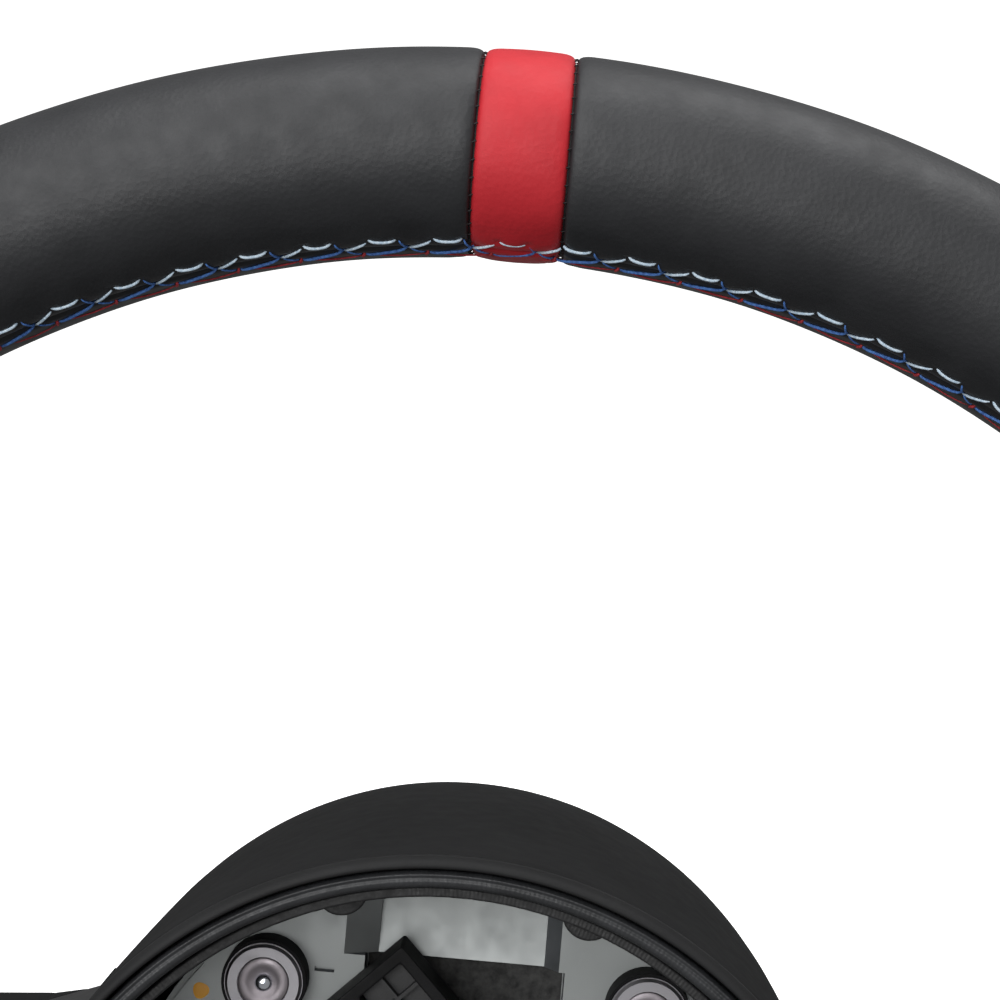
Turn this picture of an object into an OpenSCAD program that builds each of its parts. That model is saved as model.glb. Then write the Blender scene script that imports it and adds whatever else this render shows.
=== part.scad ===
// Sports steering wheel with an open airbag bay, carried on a ball-lock quick release hub.
// Drawn lying on its back: x to the right, y to 12 o'clock, z towards the driver, z = 0 on
// the face that bolts to the column. facing() then stands it up, with 12 o'clock on +Z and
// the driver on -Y.

/* [Rim] */
// Outside diameter of the rim
rim_dia = 374; // [370:1:378]
// Grip thickness measured along the wheel's radius
grip_wide = 31.1; // [30:0.1:33]
// Grip thickness measured along the column
grip_deep = 35.2; // [33:0.1:37]
// Squareness of the grip section, 2 is an ellipse
grip_squareness = 2.3; // [2:0.1:2.6]
// Leather thickness
leather_t = 1.2; // [1:0.1:1.6]
// Width of the centre band at 12 o'clock
band_wide = 13.6; // [12:0.1:16]
// Gap between leather panels at a seam
seam_gap = 0.35; // [0.3:0.05:0.6]
// Diameter of the stitching thread
thread_dia = 0.7; // [0.6:0.05:0.9]
// Distance from the column face to the middle plane of the rim
rim_plane = 115; // [114:0.5:117]

/* [Hub housing] */
// Outside diameter of the housing at its front edge
housing_dia = 133.8; // [133:0.2:134.2]
// Wall thickness of the housing
housing_wall = 1.8; // [1.6:0.1:2]
// Diameter of the opening that the airbag module drops into
bay_dia = 120; // [119:0.5:120]
// Distance of the two upper guide bushes to either side of the centre line
guide_side = 32.3; // [31.5:0.1:33]
// Height of the two upper guide bushes above the wheel's centre
guide_upper = 34.6; // [34:0.1:35]
// Distance of the lower guide bush below the wheel's centre
guide_lower = 47; // [45:0.5:47]

/* [Spokes] */
// Radius where the spoke covers stop short of the rim
spoke_end_r = 153.6; // [152:0.2:154]
// Height of the switch pod faces above the rim plane
pod_face = 7; // [6:0.5:8]
// Travel of a switch key
key_travel = 1.2; // [0.8:0.1:1.4]
// Thickness of a shift paddle
paddle_t = 3.6; // [3:0.2:4]

/* [Quick release] */
// Radius of the splined boss on the column
boss_r = 19; // [18.9:0.05:19]
// Pitch circle of the column bolts
bolt_circle = 70; // [68:0.5:72]
// Radius of the column bolt holes
bolt_hole_r = 2.65; // [2.55:0.05:2.8]
// Diameter of the locking balls
ball_dia = 6; // [5.8:0.1:6]
// Travel of the release collar
collar_travel = 8; // [7:0.5:8]

/* [Output] */
// Sub-part to draw

/* [Hidden] */
$fn = 96;

// Running clearance of a pin in its bore, and the gap left between loose neighbours
fit = 0.05;
gap = 0.3;
e = 0.5;

half_wide = grip_wide / 2;
half_deep = grip_deep / 2;
ring_r = rim_dia / 2 - half_wide;
core_r = 5;

// Half the angle the centre band covers, and the angle of one seam gap
band_half = asin(band_wide / 2 / ring_r);
seam = 2 * asin(seam_gap / 2 / ring_r);
upper_end = 60;
grip_end = 128;

// Heights in the hub, measured from the column face
flange_t = 8;
boss_top = 40;
ball_z = 21;
tube_low = 9;
hub_face = 41;
hub_flange_t = 6;
armature_face = hub_face + hub_flange_t;
floor_low = rim_plane - 35;
floor_top = rim_plane - 29;
pad_top = rim_plane - 27;
front_edge = rim_plane + 16;
housing_r = housing_dia / 2;
bay_r = bay_dia / 2;
shell_back = rim_plane - 78;

ball_r = ball_dia / 2;
ball_out = boss_r + ball_r + gap;
ball_in = ball_out - 2.1;
tube_r = 23.1;
coupling_bolt_r = 28;
collar_low = flange_t + 1 + collar_travel;
collar_top = collar_low + 19;
collar_r = 32;
cone_wide = ball_out + ball_r + 0.6;
cone_narrow = 23.5;
cone_low = ball_z - 1;
cone_high = cone_low + (cone_wide - cone_narrow) / 0.2619;
spring_seat = collar_top - 4.5;
spring_seat_r = 27.6;

// Channel in the armature's raised land: rough floor from channel_low to slope_low, then a smooth slope
channel_left = -16;
channel_right = 18;
channel_low = 11;
slope_left = -14;
slope_right = 14.5;
slope_low = 39.4;
land_end = 60;
bush_r = 6.6;
bush_top = pad_top + 5;
sleeve_r = 7.15;
post_r = 50;
post_angles = [15, 165, 236, 304];
ear_angles = [70.9, 107.6];

pod_top = rim_plane + pod_face;
pod_skin = 2.4;
pod_low = rim_plane - 17;
back_low = rim_plane - 39;
spoke_start_r = housing_r + 0.1;
key_wide = 20;
key_high = 14;
key_x = 98;
upper_key_y = 14;
lower_key_y = -9;
roller_x = 126;
roller_y = 2;
roller_r = 7;
roller_z = pod_top - 5;
board_z = rim_plane - 3;
board_t = 1.6;

pivot_x = 73;
pivot_z = rim_plane - 47;
pivot_r = 1.5;
knuckle_r = 3.4;
knuckle_half = 9;

module facing() {
    rotate([90, 0, 0])
        children();
}

module ring(outer, inner, low, high) {
    translate([0, 0, low])
        difference() {
            cylinder(h = high - low, r = outer);
            translate([0, 0, -e])
                cylinder(h = high - low + 2 * e, r = inner);
        }
}

module rod(r, low, high) {
    translate([0, 0, low])
        cylinder(h = high - low, r = r);
}

// ---- Rim ----

function section(w, d, n = 48) = [for (i = [0 : n - 1])
    let (a = 360 * i / n, c = cos(a), s = sin(a))
    [sign(c) * w * pow(abs(c), 2 / grip_squareness), sign(s) * d * pow(abs(s), 2 / grip_squareness)]];

// Room for the armature's arms where they enter the rim
module arm_passages(room) {
    for (side = [0, 180])
        rotate([0, 0, side])
            for (y = side_arm_y(side))
                translate([148, y - side_arm_wide / 2 - room, rim_plane - 9 - room])
                    cube([24, side_arm_wide + 2 * room, 14 + 2 * room]);
    rotate([0, 0, 270])
        translate([148, -lower_arm_wide / 2 - room, rim_plane - 9 - room])
            cube([24, lower_arm_wide + 2 * room, 14 + 2 * room]);
}

// The panel runs between two angles, counted anticlockwise from 3 o'clock
module leather(from, to) {
    difference() {
        translate([0, 0, rim_plane])
            rotate([0, 0, from])
                rotate_extrude(angle = to - from)
                    translate([ring_r, 0])
                        difference() {
                            polygon(section(half_wide, half_deep));
                            polygon(section(half_wide - leather_t, half_deep - leather_t));
                        }
        arm_passages(gap);
    }
}

module centre_band() {
    color([0.66, 0.05, 0.08])
        facing()
            leather(90 - band_half + seam / 2, 90 + band_half - seam / 2);
}

module upper_left_leather() {
    color([0.08, 0.08, 0.09])
        facing()
            leather(90 + band_half + seam / 2, 90 + upper_end - seam / 2);
}

module upper_right_leather() {
    color([0.08, 0.08, 0.09])
        facing()
            leather(90 - upper_end + seam / 2, 90 - band_half - seam / 2);
}

module left_grip_leather() {
    color([0.09, 0.09, 0.1])
        facing()
            leather(90 + upper_end + seam / 2, 90 + grip_end - seam / 2);
}

module right_grip_leather() {
    color([0.09, 0.09, 0.1])
        facing()
            leather(90 - grip_end + seam / 2, 90 - upper_end - seam / 2);
}

module lower_leather() {
    color([0.08, 0.08, 0.09])
        facing()
            leather(90 + grip_end + seam / 2, 450 - grip_end - seam / 2);
}

module rim_foam() {
    foam_w = half_wide - leather_t - 0.1;
    foam_d = half_deep - leather_t - 0.1;
    color([0.2, 0.2, 0.2])
        facing()
            difference() {
                translate([0, 0, rim_plane])
                    rotate_extrude()
                        translate([ring_r, 0])
                            polygon(section(foam_w, foam_d));
                translate([0, 0, rim_plane])
                    rotate_extrude()
                        translate([ring_r, 0])
                            circle(r = core_r + 0.1);
                arm_passages(0.1);
            }
}

// One row of the seam that closes the leather on the rim's inner side, broken at the spokes
module thread_row(tilt) {
    lift = thread_dia / 2 + 0.06;
    w = half_wide + lift;
    d = half_deep + lift;
    x = -w * pow(cos(tilt), 2 / grip_squareness);
    z = d * pow(sin(tilt), 2 / grip_squareness);
    facing()
        translate([0, 0, rim_plane])
            for (arc = [[17, 163], [195, 259], [281, 345]])
                rotate([0, 0, arc[0]])
                    rotate_extrude(angle = arc[1] - arc[0])
                        translate([ring_r + x, z])
                            circle(r = thread_dia / 2);
}

module light_blue_thread() {
    color([0.45, 0.6, 0.75])
        thread_row(27);
}

module blue_thread() {
    color([0.15, 0.3, 0.6])
        thread_row(15);
}

module red_thread() {
    color([0.7, 0.1, 0.12])
        thread_row(7);
}

// ---- Armature ----

side_arm_wide = 9;
lower_arm_wide = 20;

function side_arm_y(side) = side == 0 ? [13, -9] : [-13, 9];

// Side view of an arm, from the hub out to the core inside the rim
module arm(wide) {
    rotate([90, 0, 0])
        linear_extrude(height = wide, center = true)
            polygon([[46, floor_low], [118, rim_plane - 31], [148, rim_plane - 9], [171, rim_plane - 4],
                [171, rim_plane + 4], [146, rim_plane + 2], [114, rim_plane - 22], [60, rim_plane - 26.6],
                [46, rim_plane - 26.6]]);
}

module guide_positions() {
    translate([guide_side, guide_upper, 0])
        children();
    translate([-guide_side, guide_upper, 0])
        children();
    translate([0, -guide_lower, 0])
        children();
}

module post_positions() {
    for (a = post_angles)
        rotate([0, 0, a])
            translate([post_r, 0, 0])
                children();
}

// Side view of the channel, cut across from one x to another
module channel_cut(from, to, outline) {
    translate([from, 0, 0])
        rotate([90, 0, 90])
            linear_extrude(height = to - from)
                polygon(outline);
}

// Cheeks that lean outwards on both sides of the smooth slope
module channel_cheeks() {
    translate([0, land_end, 0])
        rotate([90, 0, 0])
            linear_extrude(height = land_end - slope_low)
                polygon([[slope_left - 6.6, pad_top + e], [slope_left + 0.1, floor_top - 0.9],
                    [slope_right - 0.1, floor_top - 0.9], [slope_right + 2.9, pad_top + e]]);
}

module armature() {
    guide_hole_r = sleeve_r + fit;
    color([0.62, 0.64, 0.63])
        facing()
            difference() {
                union() {
                    rod(57, floor_low, floor_top);
                    rod(34, armature_face, armature_face + 8);
                    rod(27, armature_face + 7, floor_low + 1);
                    guide_positions()
                        rod(11, floor_low - 9, pad_top);
                    post_positions()
                        rod(4.5, shell_back + 9, floor_low + 1);
                    // raised land across the upper half, and the thicker metal under its channel
                    intersection() {
                        rod(56, floor_low, pad_top);
                        translate([-60, 6, floor_low])
                            cube([120, 60, 20]);
                    }
                    translate([-19, 36, floor_low - 4])
                        cube([39, 16, 5]);
                    for (y = side_arm_y(0))
                        translate([0, y, 0])
                            arm(side_arm_wide);
                    rotate([0, 0, 180])
                        for (y = side_arm_y(180))
                            translate([0, y, 0])
                                arm(side_arm_wide);
                    rotate([0, 0, 270])
                        arm(lower_arm_wide);
                    translate([0, 0, rim_plane])
                        rotate_extrude()
                            translate([ring_r, 0])
                                circle(r = core_r);
                }
                rod(8, armature_face - e, pad_top + e);
                guide_positions()
                    union() {
                        rod(guide_hole_r, floor_low + 1, pad_top + e);
                        rod(3 + fit, floor_low - 10, floor_low + 2);
                    }
                post_positions()
                    rod(1.5 + fit, shell_back + 8, shell_back + 26);
                for (a = [30 : 60 : 330])
                    rotate([0, 0, a])
                        translate([coupling_bolt_r, 0, 0])
                            rod(2.5 + fit, armature_face - e, armature_face + 7);
                channel_cut(channel_left, channel_right, [[channel_low, floor_top - 4],
                    [slope_low, floor_top - 4], [slope_low, pad_top + e], [channel_low, pad_top + e]]);
                channel_cut(slope_left, slope_right, [[slope_low - 0.1, floor_top - 1],
                    [land_end, floor_top - 6], [land_end, pad_top + e], [slope_low - 0.1, pad_top + e]]);
                channel_cheeks();
                translate([-24.4, 36, pad_top - 1.6])
                    cube([3.4, 0.8, 3]);
            }
}

// Turned bushes that the airbag module's pins push into
module guide_bushes() {
    color([0.8, 0.8, 0.8])
        facing()
            guide_positions()
                difference() {
                    union() {
                        rod(bush_r, floor_low + 1.1, bush_top - 0.5);
                        translate([0, 0, bush_top - 0.6])
                            cylinder(h = 0.6, r1 = bush_r, r2 = bush_r - 0.6);
                        rod(3, floor_low - 8.5, floor_low + 1.2);
                    }
                    rod(4.4, bush_top - 0.5, bush_top + e);
                    rod(2.2, bush_top - 9, bush_top);
                }
}

module guide_sleeves() {
    color([0.05, 0.05, 0.05])
        facing()
            guide_positions()
                ring(sleeve_r, bush_r + fit, floor_low + 1.1, bush_top - 0.7);
}

// A square plug turned on its corner, on a stem that stands in the channel
module connector_block() {
    side = 24;
    border = 2;
    cell = (side - 3 * border) / 2;
    face_z = rim_plane - 19;
    color([0.07, 0.07, 0.08])
        facing()
            translate([-9.5, 26.7, 0])
                difference() {
                    union() {
                        rotate([0, 0, 45])
                            translate([-side / 2, -side / 2, pad_top + gap])
                                cube([side, side, face_z - pad_top - gap]);
                        translate([-5, -5, floor_top - 3.9])
                            cube([13, 12, pad_top - floor_top + 5]);
                    }
                    rotate([0, 0, 45])
                        for (x = [-side / 2 + border, border / 2])
                            for (y = [-side / 2 + border, border / 2])
                                translate([x, y, face_z - 3])
                                    cube([cell, cell, 4]);
                }
}

// ---- Hub housing ----

// Outline of the housing from its front edge to its back face, with the wall taken off
module shell_outline(wall) {
    r = housing_r - wall;
    polygon([[30, front_edge + 1], [r, front_edge + 1], [r - 0.2, rim_plane - 20], [r - 1.1, rim_plane - 45],
        [r - 2.3, rim_plane - 60], [r - 4.9, rim_plane - 68 + wall * 0.4],
        [r - 9.9, rim_plane - 74 + wall * 0.8], [42 - wall, shell_back + wall], [30, shell_back + wall]]);
}

module rear_shell() {
    color([0.09, 0.09, 0.1])
        facing()
            difference() {
                union() {
                    rotate_extrude()
                        intersection() {
                            difference() {
                                shell_outline(0);
                                shell_outline(housing_wall);
                            }
                            translate([42, 0])
                                square([40, front_edge]);
                        }
                    post_positions()
                        rod(5, shell_back + 3.2, shell_back + 8.6);
                }
                post_positions()
                    union() {
                        rod(3.5, shell_back - 2, shell_back + 4.4);
                        rod(1.75, shell_back, shell_back + 10);
                    }
                for (side = [0, 180])
                    rotate([0, 0, side])
                        for (y = side_arm_y(side))
                            translate([58, y - side_arm_wide / 2 - gap, floor_low - 1])
                                cube([16, side_arm_wide + 2 * gap, 11]);
                rotate([0, 0, 270])
                    translate([58, -lower_arm_wide / 2 - gap, floor_low - 1])
                        cube([16, lower_arm_wide + 2 * gap, 11]);
            }
}

module shell_screws() {
    color([0.3, 0.3, 0.32])
        facing()
            post_positions()
                difference() {
                    union() {
                        rod(3.2, shell_back + 1.9, shell_back + 4.3);
                        rod(1.5, shell_back + 4.2, shell_back + 24);
                    }
                    translate([0, 0, shell_back + 1])
                        cylinder(h = 2.2, r = 1.6, $fn = 6);
                }
}

module bezel_ring() {
    inner = bay_r + 2.3;
    outer = housing_r - housing_wall - gap;
    color([0.12, 0.12, 0.13])
        facing()
            rotate_extrude()
                polygon([[inner, front_edge - 10], [outer, front_edge - 10], [outer, front_edge - 0.7],
                    [outer - 0.5, front_edge - 0.2], [inner + 1.5, front_edge - 0.2],
                    [inner + 1.2, front_edge - 0.8], [inner + 0.8, front_edge - 0.8],
                    [inner + 0.5, front_edge - 0.4], [inner, front_edge - 1]]);
}

module bay_liner() {
    lip_z = rim_plane + 11.8;
    color([0.07, 0.07, 0.08])
        facing()
            union() {
                ring(bay_r + 1.6, bay_r, rim_plane - 24, lip_z);
                ring(housing_r - housing_wall - gap, bay_r + 1.5, rim_plane + 2, rim_plane + 4);
                intersection() {
                    rod(bay_r + 0.8, rim_plane - 2, rim_plane + 3);
                    for (a = ear_angles)
                        rotate([0, 0, a])
                            translate([bay_r + 0.6, 0, 0])
                                rod(4.2, rim_plane - 3, rim_plane + 4);
                }
            }
}

// ---- Side spokes ----

// Outline of a side spoke with a step inwards all round; side = 1 is the right one
module spoke_outline(step) {
    intersection() {
        polygon([[50, 36.7 - step], [58.4, 33.4 - step], [67, 30.1 - step], [81, 27.8 - step],
            [100, 26.8 - step], [160, 28 - step], [160, -24 + step], [100, -26 + step],
            [74, -30 + step], [63, -34 + step],
            [50, -40 + step]]);
        difference() {
            circle(r = spoke_end_r - step);
            circle(r = spoke_start_r + step);
        }
    }
}

// Bounds the spoke's depth and takes the sharp edge off its long sides
module pod_depth(step) {
    translate([50, 0, 0])
        rotate([90, 0, 90])
            linear_extrude(height = 120)
                polygon([[-34 + step, pod_low - e], [36 - step, pod_low - e], [36 - step, pod_top - 6],
                    [29 - step, pod_top - 1 - step], [25 - step, pod_top - step],
                    [-21 + step, pod_top - step],
                    [-25 + step, pod_top - 1 - step], [-37 + step, pod_top - 6]]);
}

module pod_cover(side) {
    color([0.09, 0.09, 0.1])
        facing()
            mirror([side < 0 ? 1 : 0, 0, 0])
                difference() {
                    intersection() {
                        translate([0, 0, pod_low])
                            linear_extrude(height = 40)
                                spoke_outline(0);
                        pod_depth(0);
                    }
                    intersection() {
                        translate([0, 0, pod_low - e])
                            linear_extrude(height = 40)
                                spoke_outline(pod_skin);
                        pod_depth(pod_skin);
                    }
                    for (y = [upper_key_y, lower_key_y])
                        translate([key_x - key_wide / 2 - 0.4, y - key_high / 2 - 0.4, pod_low])
                            cube([key_wide + 0.8, key_high + 0.8, 40]);
                    translate([roller_x - 4.6, roller_y - 7.4, pod_low])
                        cube([9.2, 14.8, 40]);
                    // the arms leave through the wall next to the rim
                    for (y = [13, -9])
                        translate([140, y - side_arm_wide / 2 - gap, pod_low - e])
                            cube([30, side_arm_wide + 2 * gap, 21.5]);
                }
}

module left_pod_cover() {
    pod_cover(-1);
}

module right_pod_cover() {
    pod_cover(1);
}

// Side view of the tray that closes a spoke from behind
module tray_depth(step) {
    translate([0, 60, 0])
        rotate([90, 0, 0])
            linear_extrude(height = 120)
                polygon([[40, pod_low + 1], [40, back_low + step], [112, back_low + step],
                    [146, pod_low - 6 + step], [160, pod_low - 3 + step], [160, pod_low + 1]]);
}

// End view of the same tray, which narrows towards the column
module tray_taper(step) {
    translate([50, 0, 0])
        rotate([90, 0, 90])
            linear_extrude(height = 120)
                polygon([[-34 + step, pod_low + 1], [-23 + step, back_low], [19 - step, back_low],
                    [33.4 - step, pod_low + 1]]);
}

module spoke_back(side) {
    color([0.08, 0.08, 0.09])
        facing()
            mirror([side < 0 ? 1 : 0, 0, 0])
                difference() {
                    intersection() {
                        translate([0, 0, back_low - 1])
                            linear_extrude(height = pod_low - gap - back_low + 1)
                                spoke_outline(0);
                        tray_depth(0);
                        tray_taper(0);
                    }
                    intersection() {
                        translate([0, 0, back_low])
                            linear_extrude(height = 40)
                                spoke_outline(pod_skin);
                        tray_depth(pod_skin);
                        tray_taper(pod_skin);
                    }
                    for (y = [13, -9])
                        translate([60, y - side_arm_wide / 2 - gap, floor_low - 1])
                            cube([14, side_arm_wide + 2 * gap, 11]);
                }
}

module left_spoke_back() {
    spoke_back(-1);
}

module right_spoke_back() {
    spoke_back(1);
}

module switch_board(side) {
    color([0.1, 0.28, 0.18])
        facing()
            mirror([side < 0 ? 1 : 0, 0, 0])
                difference() {
                    union() {
                        translate([82, -20, board_z])
                            cube([54, 43, board_t]);
                        for (y = [upper_key_y, lower_key_y])
                            translate([key_x, y, 0])
                                rod(3, board_z + board_t - 0.1, board_z + board_t + 1.2);
                        for (x = [roller_x - 6.6, roller_x + 4.8])
                            translate([x, roller_y - 2.5, board_z + board_t - 0.1])
                                cube([1.8, 5, roller_z - board_z + 0.4]);
                    }
                    translate([roller_x, roller_y, board_z - e])
                        translate([-4.4, -7.6, 0])
                            cube([8.8, 15.2, board_t + 2 * e]);
                    translate([roller_x - 8, roller_y, roller_z])
                        rotate([0, 90, 0])
                            cylinder(h = 16, r = 1 + fit);
                }
}

module left_switch_board() {
    switch_board(-1);
}

module right_switch_board() {
    switch_board(1);
}

module key(side, y) {
    flange_top = pod_top - pod_skin - gap;
    color([0.11, 0.11, 0.12])
        facing()
            mirror([side < 0 ? 1 : 0, 0, 0])
                translate([key_x, y, 0])
                    difference() {
                        union() {
                            translate([-key_wide / 2 - 1.2, -key_high / 2 - 1.2, flange_top - 1.8])
                                cube([key_wide + 2.4, key_high + 2.4, 1.8]);
                            translate([-key_wide / 2, -key_high / 2, flange_top - 0.1])
                                cube([key_wide, key_high, pod_skin + gap + key_travel + 0.2]);
                        }
                        translate([0, 0, pod_top + 19.2])
                            rotate([0, 90, 0])
                                cylinder(h = key_wide + 4, r = 18.5, center = true);
                    }
}

module left_upper_key() {
    key(-1, upper_key_y);
}

module left_lower_key() {
    key(-1, lower_key_y);
}

module right_upper_key() {
    key(1, upper_key_y);
}

module right_lower_key() {
    key(1, lower_key_y);
}

module roller(side) {
    color([0.16, 0.16, 0.17])
        facing()
            mirror([side < 0 ? 1 : 0, 0, 0])
                translate([roller_x, roller_y, roller_z])
                    rotate([0, 90, 0])
                        difference() {
                            union() {
                                cylinder(h = 8, r = roller_r, center = true);
                                cylinder(h = 13.6, r = 1, center = true);
                            }
                            for (a = [0 : 15 : 345])
                                rotate([0, 0, a])
                                    translate([roller_r + 0.1, 0, 0])
                                        cylinder(h = 9, r = 0.45, center = true, $fn = 16);
                        }
}

module left_roller() {
    roller(-1);
}

module right_roller() {
    roller(1);
}

// ---- Lower spoke ----

// Outline of the lower spoke, drawn along +x and turned down to 6 o'clock afterwards
module lower_outline(step) {
    intersection() {
        polygon([[50, 27 - step], [66, 25 - step], [90, 18 - step], [160, 16 - step],
            [160, -16 + step], [90, -18 + step], [66, -25 + step], [50, -27 + step]]);
        difference() {
            circle(r = spoke_end_r - step);
            circle(r = spoke_start_r + step);
        }
    }
}

module lower_depth(step) {
    translate([50, 0, 0])
        rotate([90, 0, 90])
            linear_extrude(height = 120)
                polygon([[-60, pod_low - e], [60, pod_low - e], [60, pod_top - 8 - step],
                    [24, pod_top - 5 - step], [15, pod_top - 1 - step], [11, pod_top - step],
                    [-11, pod_top - step],
                    [-15, pod_top - 1 - step], [-24, pod_top - 5 - step], [-60, pod_top - 8 - step]]);
}

module lower_trim() {
    color([0.3, 0.31, 0.32])
        facing()
            rotate([0, 0, 270])
                difference() {
                    intersection() {
                        translate([0, 0, pod_low])
                            linear_extrude(height = 40)
                                lower_outline(0);
                        lower_depth(0);
                    }
                    intersection() {
                        translate([0, 0, pod_low - e])
                            linear_extrude(height = 40)
                                lower_outline(pod_skin);
                        lower_depth(pod_skin);
                    }
                    translate([140, -lower_arm_wide / 2 - gap, pod_low - e])
                        cube([30, lower_arm_wide + 2 * gap, 21.5]);
                }
}

module lower_spoke_back() {
    color([0.08, 0.08, 0.09])
        facing()
            rotate([0, 0, 270])
                difference() {
                    intersection() {
                        translate([0, 0, back_low - 1])
                            linear_extrude(height = pod_low - gap - back_low + 1)
                                lower_outline(0);
                        tray_depth(0);
                    }
                    intersection() {
                        translate([0, 0, back_low])
                            linear_extrude(height = 40)
                                lower_outline(pod_skin);
                        tray_depth(pod_skin);
                    }
                    translate([60, -lower_arm_wide / 2 - gap, floor_low - 1])
                        cube([14, lower_arm_wide + 2 * gap, 11]);
                }
}

// ---- Shift paddles ----

// A curve that cuts the corner at b, from r before it to r after it
function corner(a, b, c, r) = let (p = b + r * (a - b) / norm(a - b), q = b + r * (c - b) / norm(c - b))
    [for (t = [0 : 0.2 : 1]) (1 - t) * (1 - t) * p + 2 * t * (1 - t) * b + t * t * q];

// The outline through the points with every corner rounded
function rounded(points, r) = let (n = len(points)) [for (i = [0 : n - 1])
    for (p = corner(points[(i + n - 1) % n], points[i], points[(i + 1) % n], r)) p];

module paddle_bracket(side) {
    color([0.1, 0.1, 0.11])
        facing()
            mirror([side < 0 ? 1 : 0, 0, 0])
                difference() {
                    union() {
                        for (y = [-knuckle_half - 3.4, knuckle_half + 0.4])
                            translate([62, y, pivot_z - 4])
                                cube([pivot_x - 62 + 4, 3, 8]);
                        translate([62, -knuckle_half - 3.4, pivot_z - 4])
                            cube([6, 2 * knuckle_half + 6.8, 8]);
                    }
                    rod(housing_r + 0.1, 0, front_edge);
                    translate([pivot_x, 0, pivot_z])
                        rotate([90, 0, 0])
                            cylinder(h = 60, r = pivot_r, center = true);
                }
}

module left_paddle_bracket() {
    paddle_bracket(-1);
}

module right_paddle_bracket() {
    paddle_bracket(1);
}

module paddle_pin(side) {
    color([0.7, 0.7, 0.7])
        facing()
            translate([side * pivot_x, 0, pivot_z])
                rotate([90, 0, 0])
                    cylinder(h = 2 * knuckle_half + 6.8, r = pivot_r, center = true);
}

module left_paddle_pin() {
    paddle_pin(-1);
}

module right_paddle_pin() {
    paddle_pin(1);
}

module paddle(side) {
    color([0.13, 0.13, 0.14])
        facing()
            mirror([side < 0 ? 1 : 0, 0, 0])
                difference() {
                    union() {
                        translate([pivot_x, 0, pivot_z])
                            rotate([90, 0, 0])
                                cylinder(h = 2 * knuckle_half, r = knuckle_r, center = true);
                        translate([pivot_x, -knuckle_half, pivot_z - paddle_t / 2])
                            cube([12, 2 * knuckle_half, paddle_t]);
                        translate([0, 0, pivot_z - paddle_t / 2])
                            linear_extrude(height = paddle_t)
                                polygon(rounded([[80, -9], [96, -13], [128, -14], [138, -8], [143, 10],
                                    [144, 34], [139, 46], [130, 49], [120, 45], [104, 28], [80, 12]], 4.5));
                    }
                    translate([pivot_x, 0, pivot_z])
                        rotate([90, 0, 0])
                            cylinder(h = 60, r = pivot_r + fit, center = true);
                }
}

module left_paddle() {
    paddle(-1);
}

module right_paddle() {
    paddle(1);
}

// ---- Quick release ----

module spline_places() {
    for (a = [0 : 30 : 330])
        rotate([0, 0, a])
            translate([boss_r + 0.05, 0, 0])
                children();
}

module column_hub() {
    color([0.55, 0.56, 0.58])
        facing()
            difference() {
                union() {
                    rod(42, 0, flange_t);
                    rod(boss_r, flange_t - e, boss_top);
                }
                rod(9, -e, boss_top + e);
                for (a = [0 : 60 : 300])
                    rotate([0, 0, a])
                        translate([bolt_circle / 2, 0, 0])
                            rod(bolt_hole_r, -e, flange_t + e);
                translate([0, 0, ball_z])
                    rotate_extrude()
                        translate([ball_in, 0])
                            circle(r = ball_r + 0.2);
                spline_places()
                    rod(1.2, 27, boss_top + e);
            }
}

module coupling_hub() {
    color([0.16, 0.16, 0.17])
        facing()
            union() {
                difference() {
                    union() {
                        rod(tube_r, tube_low, hub_face + 1);
                        rod(33, hub_face, armature_face - 0.02);
                    }
                    rod(boss_r + fit, tube_low - e, armature_face + e);
                    for (a = [45 : 90 : 315])
                        rotate([0, 0, a])
                            translate([boss_r - 2, 0, ball_z])
                                rotate([0, 90, 0])
                                    cylinder(h = 8, r = ball_r + fit);
                    for (a = [30 : 60 : 330])
                        rotate([0, 0, a])
                            translate([coupling_bolt_r, 0, 0])
                                union() {
                                    rod(2.7, hub_face - e, armature_face + e);
                                    translate([0, 0, hub_face - 0.01])
                                        cylinder(h = 2.6, r1 = 5.2, r2 = 2.6);
                                }
                    ring(tube_r + 1, tube_r - 0.9, 11.9, 13.4);
                }
                spline_places()
                    intersection() {
                        rod(1.05, 28.5, 39.5);
                        translate([-2, -2, 20])
                            cube([2.4, 4, 30]);
                    }
            }
}

module coupling_screws() {
    color([0.25, 0.25, 0.27])
        facing()
            for (a = [30 : 60 : 330])
                rotate([0, 0, a])
                    translate([coupling_bolt_r, 0, 0])
                        difference() {
                            union() {
                                translate([0, 0, hub_face + 0.15])
                                    cylinder(h = 2.4, r1 = 4.9, r2 = 2.5);
                                rod(2.5, hub_face + 2, armature_face + 6.5);
                            }
                            translate([0, 0, hub_face - 1])
                                cylinder(h = 2.6, r = 1.7, $fn = 6);
                        }
}

module release_collar() {
    color([0.6, 0.08, 0.1])
        facing()
            difference() {
                rotate_extrude()
                    polygon([[cone_wide, collar_low], [collar_r - 1, collar_low], [collar_r, collar_low + 1],
                        [collar_r, collar_low + 5], [collar_r - 1.6, collar_low + 6.6],
                        [collar_r - 1.6, collar_top - 5], [collar_r, collar_top - 3.4],
                        [collar_r, collar_top - 0.8], [collar_r - 0.8, collar_top],
                        [spring_seat_r, collar_top], [spring_seat_r, spring_seat],
                        [cone_narrow, spring_seat], [cone_narrow, cone_high], [cone_wide, cone_low]]);
                for (a = [0 : 20 : 340])
                    rotate([0, 0, a])
                        translate([collar_r + 0.5, 0, collar_low - e])
                            cylinder(h = collar_top - collar_low + 2 * e, r = 1.4);
            }
}

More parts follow.
